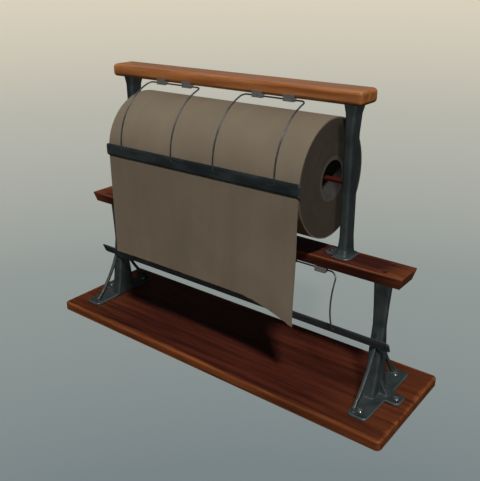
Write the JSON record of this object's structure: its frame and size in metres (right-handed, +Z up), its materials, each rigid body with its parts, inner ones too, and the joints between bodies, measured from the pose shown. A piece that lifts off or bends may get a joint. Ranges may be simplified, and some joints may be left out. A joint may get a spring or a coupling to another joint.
{
  "type": "paper roll cutter",
  "caption": "Two-tier wooden and cast-iron counter stand that holds a wrapping paper roll on a lift-out spindle and tears it against a wire-hung steel blade.",
  "frame": {"origin": "middle of the base board's underside", "axes": "+X along the roll to the right, +Y to the back, +Z up; the paper hangs at the front, -Y"},
  "size_m": [0.834, 0.249, 0.579],
  "materials": {
    "base_wood": "stained reddish brown with dark grain, satin",
    "bar_wood": "honey brown, rubbed satin",
    "cast_iron": "dark grey, fine sand-cast grain",
    "blade_steel": "blued steel, worn along the edge",
    "wire_steel": "dull drawn wire",
    "clip_steel": "dull pressed strip",
    "kraft_paper": "unbleached wrapping paper",
    "core_board": "wound grey-brown board",
    "hub_wood": "bare turned wood",
    "rod_paint": "dark red paint, rubbed at the ends",
    "bright_screw": "bright zinc",
    "dark_screw": "dark oiled steel"
  },
  "bodies": {
    "frame": {"base_board": "base_wood", "middle_board": "base_wood", "top_bar": "bar_wood", "top_bar_plugs": "bar_wood", "lower_leg_left": "cast_iron", "lower_leg_right": "cast_iron", "upper_upright_left": "cast_iron", "upper_upright_right": "cast_iron", "upper_clip_1": "clip_steel", "upper_clip_2": "clip_steel", "upper_clip_3": "clip_steel", "upper_clip_4": "clip_steel", "lower_clip_1": "clip_steel", "lower_clip_2": "clip_steel", "lower_clip_3": "clip_steel", "lower_clip_4": "clip_steel", "foot_screws": "bright_screw", "leg_top_screws": "dark_screw", "upright_ear_screws": "dark_screw", "upright_bolts": "dark_screw", "top_bar_screws": "dark_screw", "upper_clip_screws": "dark_screw", "lower_clip_screws": "dark_screw"},
    "spindle": {"spindle_rod": "rod_paint"},
    "paper_roll": {"paper_roll": "kraft_paper", "roll_core": "core_board", "core_hub_left": "hub_wood", "core_hub_right": "hub_wood"},
    "paper_tail": {"paper_tail": "kraft_paper"},
    "upper_cutter": {"upper_cutter_blade": "blade_steel", "upper_wire_left": "wire_steel", "upper_wire_right": "wire_steel"},
    "lower_cutter": {"lower_cutter_blade": "blade_steel", "lower_wire_left": "wire_steel", "lower_wire_right": "wire_steel"}
  },
  "joints": [
    {"name": "spindle_lift", "type": "slide", "parent": "frame", "child": "spindle", "axis": [0, 0.766, 0.6428], "range_m": [0, 0.03]},
    {"name": "roll_spin", "type": "hinge", "parent": "spindle", "child": "paper_roll", "pos_m": [0, 0, 0.418], "axis": [-1, 0, 0], "continuous": true},
    {"name": "tail_swing", "type": "hinge", "parent": "spindle", "child": "paper_tail", "pos_m": [0, -0.1084, 0.41085], "axis": [-1, 0, 0], "range_deg": [0, 50]},
    {"name": "upper_cutter_lift", "type": "hinge", "parent": "frame", "child": "upper_cutter", "pos_m": [0, -0.024, 0.55122], "axis": [-1, 0, 0], "range_deg": [0, 65]},
    {"name": "lower_cutter_lift", "type": "hinge", "parent": "frame", "child": "lower_cutter", "pos_m": [0, -0.022, 0.25372], "axis": [-1, 0, 0], "range_deg": [0, 40]}
  ]
}
